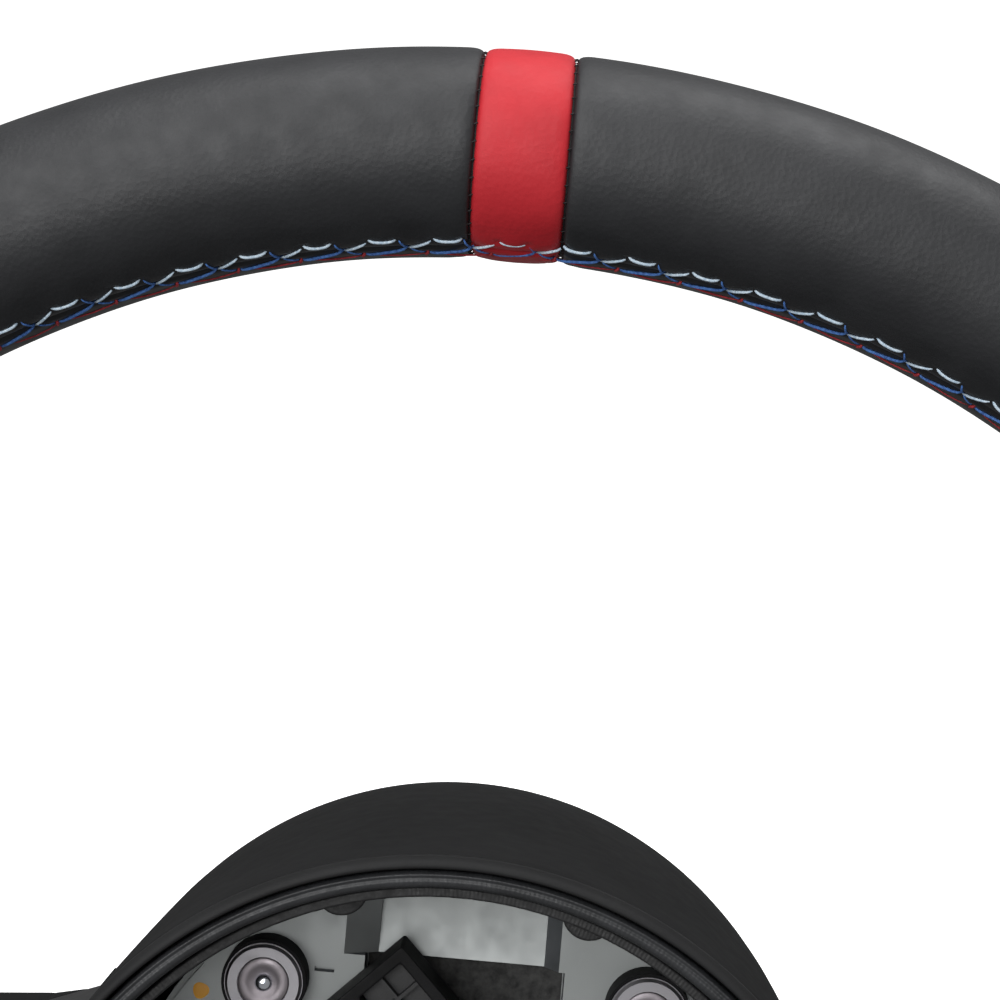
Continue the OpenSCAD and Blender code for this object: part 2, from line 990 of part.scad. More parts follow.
// Shown pressed together, as it is with the collar held back
module collar_spring() {
    wire_r = 0.75;
    pitch = (hub_face - spring_seat - 2 * wire_r - 0.2) / 3;
    color([0.7, 0.7, 0.72])
        facing()
            for (k = [0 : 3])
                translate([0, 0, spring_seat + wire_r + 0.1 + k * pitch])
                    rotate_extrude()
                        translate([25.4, 0])
                            circle(r = wire_r);
}

module retaining_ring() {
    color([0.5, 0.5, 0.52])
        facing()
            difference() {
                ring(tube_r + 1.7, tube_r - 0.85, 12, 13.3);
                rotate([0, 0, 90])
                    translate([18, -2.5, 11])
                        cube([10, 5, 4]);
            }
}

module lock_ball(angle) {
    color([0.82, 0.82, 0.84])
        facing()
            rotate([0, 0, angle])
                translate([ball_out, 0, ball_z])
                    sphere(r = ball_r);
}

module lock_ball_1() {
    lock_ball(45);
}

module lock_ball_2() {
    lock_ball(135);
}

module lock_ball_3() {
    lock_ball(225);
}

module lock_ball_4() {
    lock_ball(315);
}

column_hub();
coupling_hub();
coupling_screws();
release_collar();
collar_spring();
retaining_ring();
lock_ball_1();
lock_ball_2();
lock_ball_3();
lock_ball_4();
armature();
rim_foam();
centre_band();
upper_left_leather();
upper_right_leather();
left_grip_leather();
right_grip_leather();
lower_leather();
light_blue_thread();
blue_thread();
red_thread();
rear_shell();
bezel_ring();
bay_liner();
guide_bushes();
guide_sleeves();
connector_block();
shell_screws();
left_pod_cover();
right_pod_cover();
left_spoke_back();
right_spoke_back();
left_switch_board();
right_switch_board();
left_upper_key();
left_lower_key();
right_upper_key();
right_lower_key();
left_roller();
right_roller();
lower_trim();
lower_spoke_back();
left_paddle_bracket();
right_paddle_bracket();
left_paddle();
right_paddle();
left_paddle_pin();
right_paddle_pin();
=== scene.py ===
import itertools
import math

import bmesh
import bpy
import numpy as np
from mathutils import Matrix, Vector


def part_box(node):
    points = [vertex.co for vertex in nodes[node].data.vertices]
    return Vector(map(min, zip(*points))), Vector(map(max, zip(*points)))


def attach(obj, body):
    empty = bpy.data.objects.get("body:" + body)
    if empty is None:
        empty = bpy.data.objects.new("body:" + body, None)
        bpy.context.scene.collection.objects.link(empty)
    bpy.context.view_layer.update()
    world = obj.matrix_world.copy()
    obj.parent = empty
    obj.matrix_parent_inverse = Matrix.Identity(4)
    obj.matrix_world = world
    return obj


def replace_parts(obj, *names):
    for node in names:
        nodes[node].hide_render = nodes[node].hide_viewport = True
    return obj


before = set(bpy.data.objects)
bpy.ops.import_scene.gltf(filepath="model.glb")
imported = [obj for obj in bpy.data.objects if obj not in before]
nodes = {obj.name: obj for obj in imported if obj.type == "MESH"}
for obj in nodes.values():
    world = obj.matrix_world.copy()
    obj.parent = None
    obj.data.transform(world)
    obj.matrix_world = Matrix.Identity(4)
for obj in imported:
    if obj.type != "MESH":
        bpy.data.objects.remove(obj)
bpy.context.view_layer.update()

MM = 0.001
rng = np.random.default_rng(7)


# ---- Sizes, in metres; the rim's place and outside come from the frame ----

band_low, band_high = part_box("centre_band")
# The rim plane's place on the column's axis, and the rim's outside radius
RIM_Y = (band_low.y + band_high.y) / 2
RIM_OUT = band_high.z
# The grip's section: half its depth and half its width, and how far it is from an ellipse
HALF_DEEP = (band_high.y - band_low.y) / 2
HALF_WIDE = 15.55 * MM
SQUARENESS = 2.3
RING_R = RIM_OUT - HALF_WIDE
# Half the width of the red centre band
BAND_HALF = 6.75 * MM
# Where the closing seam runs round the grip
SEAM_TILT = math.radians(17)


# ---- Camera ----

CAMERA_RIGHT = Vector((0.99622221, 0.02101457, 0.08425969))
CAMERA_UP = Vector((-0.08471645, 0.02188376, 0.99616476))
CAMERA_PLACE = Vector((0.00609, RIM_Y - 0.27619, 0.12551))


def make_camera():
    """A camera close to the rim's upper half, turned a little anticlockwise."""
    data = bpy.data.cameras.new("camera")
    data.sensor_width = 36
    data.lens = 64.8
    data.clip_start = 0.01
    cam = bpy.data.objects.new("camera", data)
    bpy.context.scene.collection.objects.link(cam)
    back = CAMERA_RIGHT.cross(CAMERA_UP)
    turn = Matrix((CAMERA_RIGHT, CAMERA_UP, back)).transposed().to_4x4()
    cam.matrix_world = Matrix.Translation(CAMERA_PLACE) @ turn
    bpy.context.scene.camera = cam


make_camera()


# ---- Materials ----

# Places of the colour sockets on a mix node
MIX_LOW, MIX_HIGH, MIX_RESULT = 6, 7, 2


class Paint:
    """A principled material with short calls for the nodes that feed it."""

    def __init__(self, name, color=(0.5, 0.5, 0.5), rough=0.5, metal=0.0, **inputs):
        self.mat = bpy.data.materials.new(name)
        self.mat.use_nodes = True
        self.tree = self.mat.node_tree
        self.shader = self.tree.nodes["Principled BSDF"]
        self.shader.inputs["Base Color"].default_value = (*color, 1)
        self.shader.inputs["Roughness"].default_value = rough
        self.shader.inputs["Metallic"].default_value = metal
        for key, value in inputs.items():
            self.shader.inputs[key.replace("_", " ")].default_value = value
        self.coords = self.tree.nodes.new("ShaderNodeTexCoord").outputs["Object"]
        self.height = None

    def node(self, kind, **settings):
        made = self.tree.nodes.new(kind)
        for key, value in settings.items():
            if hasattr(made, key):
                setattr(made, key, value)
            else:
                made.inputs[key.replace("_", " ")].default_value = value
        return made

    def link(self, a, b):
        self.tree.links.new(a, b)

    def noise(self, size, detail=3.0, rough=0.5, stretch=(1, 1, 1)):
        """Noise whose features are about size metres across."""
        place = self.node("ShaderNodeMapping")
        place.inputs["Scale"].default_value = stretch
        self.link(self.coords, place.inputs["Vector"])
        made = self.node("ShaderNodeTexNoise", Scale=1 / size, Detail=detail, Roughness=rough)
        self.link(place.outputs["Vector"], made.inputs["Vector"])
        return made.outputs["Fac"]

    def cells(self, size):
        """Rounded cells about size metres across."""
        made = self.node("ShaderNodeTexVoronoi", Scale=1 / size)
        self.link(self.coords, made.inputs["Vector"])
        return made.outputs["Distance"]

    def ramp(self, value, low, high, start=0.0, end=1.0):
        """Maps value from start..end to low..high."""
        made = self.node("ShaderNodeMapRange")
        limits = {"From Min": start, "From Max": end, "To Min": low, "To Max": high}
        for key, number in limits.items():
            made.inputs[key].default_value = number
        self.link(value, made.inputs["Value"])
        return made.outputs["Result"]

    def mix(self, value, low, high, start=0.35, end=0.65):
        """Colour from low to high as value goes from start to end."""
        made = self.node("ShaderNodeValToRGB")
        made.color_ramp.elements[0].position = start
        made.color_ramp.elements[0].color = (*low, 1)
        made.color_ramp.elements[1].position = end
        made.color_ramp.elements[1].color = (*high, 1)
        self.link(value, made.inputs["Fac"])
        return made.outputs["Color"]

    def blend(self, share, low, high):
        """Colour low where share is 0 and high where it is 1."""
        made = self.node("ShaderNodeMix", data_type="RGBA")
        self.link(share, made.inputs["Factor"])
        self.link(low, made.inputs[MIX_LOW])
        self.link(high, made.inputs[MIX_HIGH])
        return made.outputs[MIX_RESULT]

    def facing(self, axis):
        """One axis of the surface's own normal, from -1 to 1."""
        normal = self.tree.nodes.new("ShaderNodeTexCoord").outputs["Normal"]
        split = self.tree.nodes.new("ShaderNodeSeparateXYZ")
        self.link(normal, split.inputs[0])
        return split.outputs[axis]

    def teeth(self, count):
        """Waves that run across a ring about the column's axis, count of them in the whole turn."""
        split = self.tree.nodes.new("ShaderNodeSeparateXYZ")
        self.link(self.coords, split.inputs[0])
        angle = self.node("ShaderNodeMath", operation="ARCTAN2")
        self.link(split.outputs["X"], angle.inputs[0])
        self.link(split.outputs["Z"], angle.inputs[1])
        many = self.node("ShaderNodeMath", operation="MULTIPLY")
        many.inputs[1].default_value = count
        self.link(angle.outputs[0], many.inputs[0])
        wave = self.node("ShaderNodeMath", operation="SINE")
        self.link(many.outputs[0], wave.inputs[0])
        return wave.outputs[0]

    def color(self, socket):
        self.link(socket, self.shader.inputs["Base Color"])

    def rough(self, socket):
        self.link(socket, self.shader.inputs["Roughness"])

    def bump(self, value, depth, strength=1.0):
        """Adds one layer of relief, depth metres high, on top of those before it."""
        made = self.node("ShaderNodeBump", Strength=strength, Distance=depth)
        self.link(value, made.inputs["Height"])
        if self.height is not None:
            self.link(self.height, made.inputs["Normal"])
        self.height = made.outputs["Normal"]
        self.link(self.height, self.shader.inputs["Normal"])


def shades(color, darker, lighter):
    """The same colour a little darker and a little lighter."""
    return [c * darker for c in color], [c * lighter for c in color]


def leather(name, dark, light, rough, **inputs):
    """Smooth leather with a fine pebble grain and shallow creases."""
    p = Paint(name, light, rough, **inputs)
    p.color(p.mix(p.noise(9 * MM, 4), dark, light))
    p.rough(p.ramp(p.noise(4 * MM, 5), rough - 0.05, rough + 0.07, 0.3, 0.7))
    p.bump(p.noise(14 * MM, 2), 0.12 * MM, 0.4)
    p.bump(p.noise(3.5 * MM, 4, 0.6), 0.09 * MM, 0.5)
    p.bump(p.cells(0.8 * MM), 0.06 * MM, 0.6)
    p.bump(p.noise(0.5 * MM, 3), 0.03 * MM, 0.4)
    return p.mat


def plastic(name, color, rough, grain=0.35 * MM, depth=0.03 * MM, strength=0.5, **inputs):
    """Moulded plastic with a fine spark-eroded grain."""
    p = Paint(name, color, rough, **inputs)
    p.color(p.mix(p.noise(12 * MM, 3), *shades(color, 0.92, 1.08)))
    p.rough(p.ramp(p.noise(3 * MM, 4), rough - 0.04, rough + 0.05, 0.3, 0.7))
    p.bump(p.cells(grain), depth, strength)
    return p.mat


def cast_metal(name):
    """Cast metal with painted light: pale on the faces that look towards the driver, and darker as painted
    shade on the others.
    """
    p = Paint(name, (0.3, 0.31, 0.3), 0.42, 0.7)
    # Painted light and shade: faces turned towards the driver take the pale colour, and faces turned away
    # take the darker one as painted shade.
    driver_facing_share = p.ramp(p.facing("Y"), 1, 0, -0.97, -0.6)
    painted_shade_colour = p.mix(p.noise(7 * MM, 5), (0.14, 0.15, 0.163), (0.19, 0.2, 0.216))
    pale = p.mix(p.noise(12 * MM, 5), (0.295, 0.31, 0.306), (0.335, 0.35, 0.348))
    p.color(p.blend(driver_facing_share, painted_shade_colour, pale))
    p.rough(p.ramp(p.noise(3 * MM, 4), 0.42, 0.52, 0.3, 0.7))
    p.bump(p.noise(1.1 * MM, 5), 0.02 * MM, 0.15)
    return p.mat


def ribbed_plastic(name, color, rough, count):
    """Dark plastic with a fine milled edge round the column's axis."""
    p = Paint(name, color, rough)
    p.color(p.mix(p.noise(5 * MM, 4), *shades(color, 0.8, 1.25)))
    p.rough(p.ramp(p.noise(1.2 * MM, 5), rough - 0.1, rough + 0.14, 0.3, 0.7))
    p.bump(p.teeth(count), 0.03 * MM, 0.35)
    p.bump(p.noise(0.7 * MM, 4), 0.12 * MM, 0.7)
    return p.mat


def shaded_rough_cast(name):
    """The grainy skin of unmachined cast metal, coloured near black as painted shade for the recess it
    lines.
    """
    p = Paint(name, (0.05, 0.05, 0.05), 0.75, 0.2)
    # Painted shade: these near-black colours stand in for the shade in the recessed channel; the grain is
    # the casting's own.
    p.color(p.mix(p.noise(2.2 * MM, 6, 0.65), (0.018, 0.018, 0.018), (0.06, 0.06, 0.058)))
    p.bump(p.noise(1.6 * MM, 6, 0.7), 0.5 * MM, 0.8)
    return p.mat


def turned_metal(name, color, rough):
    """Bright metal with a fine grain that runs along the column's axis."""
    p = Paint(name, color, rough, 1.0)
    p.rough(p.ramp(p.noise(2 * MM, 3), rough - 0.06, rough + 0.1, 0.3, 0.7))
    p.bump(p.noise(0.25 * MM, 2, stretch=(1, 0.05, 1)), 0.01 * MM, 0.3)
    p.color(p.mix(p.noise(5 * MM, 3), *shades(color, 0.95, 1)))
    return p.mat


def coated_metal(name, color, rough, metal):
    """Painted, anodised or blackened metal."""
    p = Paint(name, color, rough, metal)
    p.color(p.mix(p.noise(4 * MM, 4), *shades(color, 0.94, 1.05)))
    p.rough(p.ramp(p.noise(2.5 * MM, 4), rough - 0.05, rough + 0.1, 0.3, 0.7))
    p.bump(p.noise(0.4 * MM, 3), 0.015 * MM, 0.4)
    return p.mat


def brushed_metal(name, color, rough):
    """Satin metal with fine lines that run up and down."""
    p = Paint(name, color, rough, 0.85)
    lines = p.noise(0.35 * MM, 3, stretch=(1, 1, 0.02))
    p.color(p.mix(lines, *shades(color, 0.93, 1.05)))
    p.rough(p.ramp(lines, rough - 0.06, rough + 0.08, 0.3, 0.7))
    p.bump(lines, 0.01 * MM, 0.4)
    return p.mat


def thread(name, dark, light):
    """Twisted sewing thread."""
    p = Paint(name, light, 0.75)
    p.color(p.mix(p.noise(0.45 * MM, 2), dark, light))
    p.bump(p.noise(0.3 * MM, 2), 0.08 * MM, 0.8)
    return p.mat


BLACK_LEATHER = leather("black_leather", (0.0145, 0.0152, 0.017), (0.0195, 0.0203, 0.0225), 0.52,
                        Specular_IOR_Level=0.44)
RED_LEATHER = leather("red_leather", (0.44, 0.016, 0.024), (0.51, 0.021, 0.03), 0.55,
                      Specular_IOR_Level=0.3)
SEAM_DARK = leather("seam_dark", (0.008, 0.006, 0.007), (0.014, 0.01, 0.011), 0.8)
SHELL_GREY = (0.0165, 0.0167, 0.0172)
SHELL_EDGE = plastic("shell_edge", SHELL_GREY, 0.66, 0.5 * MM, 0.02 * MM, 0.3,
                     Specular_IOR_Level=0.18)
SHELL_PLASTIC = plastic("shell_plastic", SHELL_GREY, 0.78, 0.5 * MM, 0.02 * MM, 0.3,
                        Specular_IOR_Level=0.1)
LINER_PLASTIC = ribbed_plastic("liner_plastic", (0.011, 0.011, 0.0115), 0.55, 620)
BEZEL_PLASTIC = ribbed_plastic("bezel_plastic", (0.022, 0.023, 0.025), 0.5, 560)
POD_PLASTIC = plastic("pod_plastic", (0.022, 0.022, 0.023), 0.48)
KEY_PLASTIC = plastic("key_plastic", (0.018, 0.018, 0.02), 0.33, 0.5 * MM, 0.012 * MM)
CONNECTOR_PLASTIC = plastic("connector_plastic", (0.0045, 0.0045, 0.005), 0.6,
                            Specular_IOR_Level=0.2)
CONNECTOR_INSIDE = plastic("connector_inside", (0.02, 0.02, 0.0207), 0.55)
SLEEVE_RUBBER = plastic("sleeve_rubber", (0.004, 0.004, 0.0045), 0.7, Specular_IOR_Level=0.2)
BOARD_GREEN = plastic("board_green", (0.02, 0.11, 0.05), 0.4)
CAST = cast_metal("cast_magnesium")
SHADED_ROUGH_CAST = shaded_rough_cast("shaded_rough_cast")
TURNED = turned_metal("turned_steel", (0.6, 0.6, 0.62), 0.3)
BUSH_METAL = turned_metal("bush_metal", (0.38, 0.37, 0.39), 0.42)
PIN_STEEL = turned_metal("pin_steel", (0.85, 0.88, 0.95), 0.2)
BUSH_PLATE = turned_metal("bush_plate", (0.34, 0.31, 0.33), 0.45)
HUB_ALLOY = turned_metal("hub_alloy", (0.62, 0.63, 0.65), 0.3)
SPRING = turned_metal("spring_steel", (0.6, 0.6, 0.62), 0.3)
BLACK_STEEL = coated_metal("black_steel", (0.03, 0.03, 0.033), 0.4, 0.7)
BLACK_ANODISED = coated_metal("black_anodised", (0.03, 0.03, 0.034), 0.36, 0.7)
RED_ANODISED = coated_metal("red_anodised", (0.42, 0.018, 0.03), 0.3, 0.85)
TRIM_METAL = brushed_metal("trim_metal", (0.42, 0.43, 0.44), 0.36)
PADDLE_PAINT = coated_metal("paddle_paint", (0.025, 0.025, 0.027), 0.4, 0.2)
FOAM = plastic("rim_foam", (0.012, 0.012, 0.012), 0.8, 0.8 * MM, 0.1 * MM)
PALE_THREAD = thread("light_blue_thread", (0.42, 0.55, 0.68), (0.68, 0.8, 0.9))
BLUE_THREAD = thread("blue_thread", (0.04, 0.11, 0.36), (0.09, 0.24, 0.62))
RED_THREAD = thread("red_thread", (0.34, 0.02, 0.03), (0.5, 0.04, 0.05))
ORANGE = plastic("orange_dot", (0.95, 0.45, 0.05), 0.5)

NODE_PAINT = {
    "column_hub": HUB_ALLOY, "coupling_hub": BLACK_ANODISED, "coupling_screws": BLACK_STEEL,
    "release_collar": RED_ANODISED, "collar_spring": SPRING, "retaining_ring": SPRING,
    "armature": CAST, "rim_foam": FOAM, "rear_shell": SHELL_PLASTIC, "bezel_ring": BEZEL_PLASTIC,
    "bay_liner": LINER_PLASTIC, "guide_bushes": BUSH_METAL, "guide_sleeves": SLEEVE_RUBBER,
    "connector_block": CONNECTOR_PLASTIC, "shell_screws": BLACK_STEEL, "lower_trim": TRIM_METAL,
    "lower_spoke_back": SHELL_PLASTIC,
}
for number in range(1, 5):
    NODE_PAINT[f"lock_ball_{number}"] = TURNED

# Paint of the pieces that both sides have
SIDE_PAINT = {
    "pod_cover": POD_PLASTIC, "spoke_back": SHELL_PLASTIC, "switch_board": BOARD_GREEN,
    "upper_key": KEY_PLASTIC, "lower_key": KEY_PLASTIC, "roller": KEY_PLASTIC,
    "paddle_bracket": CONNECTOR_PLASTIC, "paddle": PADDLE_PAINT, "paddle_pin": TURNED,
}
for side in ("left", "right"):
    for name, paint in SIDE_PAINT.items():
        NODE_PAINT[f"{side}_{name}"] = paint

for name, paint in NODE_PAINT.items():
    nodes[name].data.materials.clear()
    nodes[name].data.materials.append(paint)


# ---- Building pieces ----

def add_piece(name, verts, faces, paint, body, smooth=True):
    """Makes one mesh piece that rides on body."""
    mesh = bpy.data.meshes.new(name)
    mesh.from_pydata([tuple(v) for v in verts], [], faces)
    mesh.update()
    made = bpy.data.objects.new(name, mesh)
    bpy.context.scene.collection.objects.link(made)
    mesh.materials.append(paint)
    for face in mesh.polygons:
        face.use_smooth = smooth
    work = bmesh.new()
    work.from_mesh(mesh)
    bmesh.ops.recalc_face_normals(work, faces=work.faces)
    work.to_mesh(mesh)
    work.free()
    if body:
        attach(made, body)
    return made


def grid_faces(rows, columns, wrap_rows=False, wrap_columns=False):
    """Faces of a grid of points, closed on itself where it wraps."""
    faces = []
    for i in range(rows if wrap_rows else rows - 1):
        for j in range(columns if wrap_columns else columns - 1):
            a, b = i * columns + j, i * columns + (j + 1) % columns
            c = ((i + 1) % rows) * columns + (j + 1) % columns
            d = ((i + 1) % rows) * columns + j
            faces.append((a, b, c, d))
    return faces


# ---- The rim's surface ----
# turn: angle round the wheel from 12 o'clock, positive towards the right.
# tilt: place round the grip, 0 at its innermost line, positive towards the driver.

def section_point(tilt, lift=0.0):
    """Distance from the wheel's centre and height towards the driver, from the rim plane."""
    c, s = np.cos(tilt), np.sin(tilt)
    power = 2 / SQUARENESS
    across = -(HALF_WIDE + lift) * np.sign(c) * np.abs(c) ** power
    ahead = (HALF_DEEP + lift) * np.sign(s) * np.abs(s) ** power
    return RING_R + across, ahead


def rim_point(turn, tilt, lift=0.0):
    """A place on the grip's surface, or lift above it."""
    r, ahead = section_point(tilt, lift)
    return np.stack([r * np.sin(turn), RIM_Y - ahead, r * np.cos(turn)], -1)


def bell(x, width):
    """A bell curve, 1 at x = 0 and near 0 past twice the width."""
    return np.exp(-(x / width) ** 2)


# Stitches in the closing seam, and where the first one starts
PERIODS = 102
STEP = 2 * math.pi / PERIODS
STITCH_START = math.radians(2.62)
# Places in one stitch: share of a period, and tilt in degrees
BAR_START = (0.0, 27)
BAR_END = (0.44, 26.5)
CROSSING = (0.6, 15.5)
KNOT = (0.88, 8.5)
# Millimetres along one period, and per degree of tilt
PERIOD_MM = 9.7
TILT_MM = 0.27


def seam_relief(turn, tilt):
    """Relief of the closing seam: one groove, and a dimple at every thread hole."""
    off = np.degrees(tilt - SEAM_TILT)
    depth = -0.45 * MM * bell(off, 2.2) + 0.18 * MM * bell(off - 9, 6)
    phase = ((turn - STITCH_START) / STEP) % 1.0
    for share, degrees in (BAR_START, BAR_END, CROSSING, KNOT):
        away = np.minimum(np.abs(phase - share), 1 - np.abs(phase - share)) * PERIOD_MM
        across = (np.degrees(tilt) - degrees) * TILT_MM
        depth = depth - 0.30 * MM * np.exp(-(away**2 + across**2) / 0.5)
    pucker = np.cos(2 * math.pi * (phase - 0.22))
    return depth + 0.10 * MM * pucker * bell(off - 12, 10)


# Distances from a panel's edge, in millimetres, closer together where the edge rolls in
EDGE_STEPS = [0, 0.08, 0.18, 0.3, 0.46, 0.7, 1.05, 1.5, 2.2, 3.2]


def panel(name, start, end, paint, slot, step, crown):
    """One leather panel between two seam lines, with rolled edges.

    start and end give a seam line's turn at a distance from the wheel's centre.
    crown is how far the panel's middle stands proud of its edges.
    """
    edge = np.array(EDGE_STEPS) * MM
    length = (end(RING_R) - start(RING_R)) * RING_R
    edge = edge[edge < length / 2 - 0.3 * MM]
    count = max(3, int((length - 2 * edge[-1]) / step))
    middle = np.linspace(edge[-1], length - edge[-1], count)[1:-1]
    along = np.concatenate([edge, middle, (length - edge)[::-1]]) / length
    fine = np.radians(np.arange(-14, 44, 0.9))
    coarse = np.radians(np.arange(44, 346, 3.0))
    tilts = np.concatenate([fine, coarse])
    share, tilt = np.meshgrid(along, tilts, indexing="ij")
    r, _ = section_point(tilt)
    first, last = start(r), end(r)
    turn = first + (last - first) * share
    from_edge = np.minimum(turn - first, last - turn) * r
    roll = -0.95 * MM * np.exp(-from_edge / (0.2 * MM)) - 0.3 * MM * bell(from_edge, 1.1 * MM)
    inside = bell((np.degrees(tilt) + 2) / 26, 1)
    pinch = -0.4 * MM * bell(from_edge, 1.9 * MM) * inside
    proud = crown * (1 - bell(from_edge, 4 * MM)) * (0.35 + 0.65 * inside)
    waves = np.sin(turn * 23.0 + 1.3 * np.sin(tilt * 3)) * np.sin(tilt * 2 + turn * 9)
    lift = roll + pinch + seam_relief(turn, tilt) + proud + 0.05 * MM * waves
    points = rim_point(turn, tilt, lift).reshape(-1, 3)
    faces = grid_faces(len(along), len(tilts), wrap_columns=True)
    return add_piece(name, points, faces, paint, "wheel")


def line_at(x):
    """A seam that runs straight at a distance x from the wheel's centre line."""
    return lambda r: np.arcsin(x / r)


# Half the gap in a seam between two black panels, and the gap beside the red band
SEAM_GAP = 0.12 * MM
BAND_GAP = 0.22 * MM
# Turns of the seams between the panels, in degrees
UPPER, LOWER = 60, 128
# Spacing of a panel's points along the rim
FINE, MEDIUM, COARSE = 0.4 * MM, 0.8 * MM, 1.5 * MM


def ray_at(degrees, side=0):
    """A seam along a ray from the wheel's centre, or half a gap to one side of it."""
    return lambda r: np.radians(degrees) + side * SEAM_GAP / r


def rim_panels():
    """The six leather panels, each in place of its plain node."""
    beside_band = BAND_HALF + BAND_GAP
    upper_right = (line_at(beside_band), ray_at(UPPER, -1), BLACK_LEATHER, "black_leather", MEDIUM, 0)
    upper_left = (ray_at(-UPPER, 1), line_at(-beside_band), BLACK_LEATHER, "black_leather", MEDIUM, 0)
    right_grip = (ray_at(UPPER, 1), ray_at(LOWER, -1), BLACK_LEATHER, "grip_leather", COARSE, 0)
    left_grip = (ray_at(-LOWER, 1), ray_at(-UPPER, -1), BLACK_LEATHER, "grip_leather", COARSE, 0)
    lower = (ray_at(LOWER, 1), ray_at(360 - LOWER, -1), BLACK_LEATHER, "black_leather", COARSE, 0)
    band = (line_at(-BAND_HALF), line_at(BAND_HALF), RED_LEATHER, "red_leather", FINE, 0.35 * MM)
    panels = {
        "centre_band": band, "upper_right_leather": upper_right, "upper_left_leather": upper_left,
        "right_grip_leather": right_grip, "left_grip_leather": left_grip, "lower_leather": lower,
    }
    for name, details in panels.items():
        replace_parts(panel(name + "_skin", *details), name)


rim_panels()


# ---- Stitching ----

def tube(path, radius, sides=8):
    """Verts and faces of a tube along path, whose radius may change along it; its ends are closed."""
    path = np.asarray(path)
    radius = np.broadcast_to(radius, len(path))
    ahead = np.gradient(path, axis=0)
    ahead /= np.linalg.norm(ahead, axis=1)[:, None]
    side = np.cross(ahead, [0.3, 0.2, 0.93])
    side /= np.linalg.norm(side, axis=1)[:, None]
    other = np.cross(ahead, side)
    angle = np.linspace(0, 2 * math.pi, sides, endpoint=False)
    cos, sin = np.cos(angle)[None, :, None], np.sin(angle)[None, :, None]
    ring = cos * side[:, None] + sin * other[:, None]
    verts = (path[:, None] + ring * radius[:, None, None]).reshape(-1, 3)
    faces = grid_faces(len(path), sides, wrap_columns=True)
    faces.append(tuple(range(sides))[::-1])
    faces.append(tuple(range((len(path) - 1) * sides, len(path) * sides)))
    return verts, faces


class Batch:
    """Collects many small meshes into one piece."""

    def __init__(self):
        self.verts, self.faces, self.count = [], [], 0

    def add(self, verts, faces):
        self.verts.append(verts)
        self.faces += [tuple(i + self.count for i in f) for f in faces]
        self.count += len(verts)

    def piece(self, name, paint, body, slot=None, smooth=True):
        return add_piece(name, np.concatenate(self.verts), self.faces, paint, body, smooth)


def strand(batch, first_turn, places, radius, bulge=0.0, lift=None, points=9, dive=0.45 * MM):
    """A thread that dives into the leather at both ends.

    places are pairs: a share of a period, and a tilt in degrees.
    """
    t = np.linspace(0, 1, points)
    shares = np.interp(t, np.linspace(0, 1, len(places)), [p[0] for p in places])
    tilts = np.interp(t, np.linspace(0, 1, len(places)), [p[1] for p in places])
    tilts = tilts - bulge * np.sin(math.pi * t)
    turn = first_turn + shares * STEP
    tilt = np.radians(tilts)
    rise = (lift if lift is not None else radius * 0.75) + seam_relief(turn, tilt) * 0.4
    rise = rise - dive * (np.exp(-t / 0.07) + np.exp(-(1 - t) / 0.07))
    path = rim_point(turn, tilt, rise)
    taper = 1 - 0.35 * (np.exp(-t / 0.12) + np.exp(-(1 - t) / 0.12))
    batch.add(*tube(path, radius * taper))


# Each spoke's turn and half the stretch of rim that it covers, in degrees
SPOKES_ON_RIM = ((90, 14), (270, 14), (180, 9))


def on_a_spoke(turn):
    """True where a spoke covers the seam."""
    degrees = math.degrees(turn) % 360
    return any(abs(degrees - middle) < half for middle, half in SPOKES_ON_RIM)


def stitching():
    """The closing seam in three threads: pale bars, blue links and red ties, each a little uneven."""
    pale, blue, red = Batch(), Batch(), Batch()
    for k in range(PERIODS):
        turn = STITCH_START + k * STEP
        if on_a_spoke(turn + STEP / 2):
            continue
        wobble = rng.normal(0, 1, 6)
        bar_start = (BAR_START[0] + 0.006 * wobble[0], BAR_START[1] + 0.3 * wobble[1])
        pale_end = (0.965, 25.5 + 0.4 * wobble[3])
        next_crossing = (CROSSING[0] + 1.0, CROSSING[1])
        strand(pale, turn, [bar_start, BAR_END], 0.27 * MM, bulge=1.1 + 0.5 * wobble[2], points=11)
        strand(blue, turn, [(BAR_END[0] + 0.03, 26), CROSSING], 0.17 * MM, points=7, dive=0.3 * MM)
        strand(pale, turn, [CROSSING, pale_end], 0.22 * MM, bulge=-0.3, dive=0.2 * MM)
        strand(blue, turn - STEP, [KNOT, next_crossing], 0.25 * MM, bulge=0.3 * wobble[4], points=11)
        strand(blue, turn, [CROSSING, KNOT], 0.17 * MM, lift=0.02 * MM, points=7)
        strand(red, turn, [(0.02, 6.5), (0.45, 3.5), (0.9, 6.5)], 0.16 * MM, lift=0.05 * MM,
               bulge=0.8 * math.copysign(1, wobble[5]), points=11)
        strand(red, turn, [(KNOT[0] - 0.03, 5.5), (KNOT[0] + 0.02, 10.5)], 0.25 * MM, points=6)
    threads = {
        "light_blue_thread": (pale, PALE_THREAD), "blue_thread": (blue, BLUE_THREAD),
        "red_thread": (red, RED_THREAD),
    }
    for name, (batch, paint) in threads.items():
        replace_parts(batch.piece(name + "_stitches", paint, "wheel", name), name)


stitching()


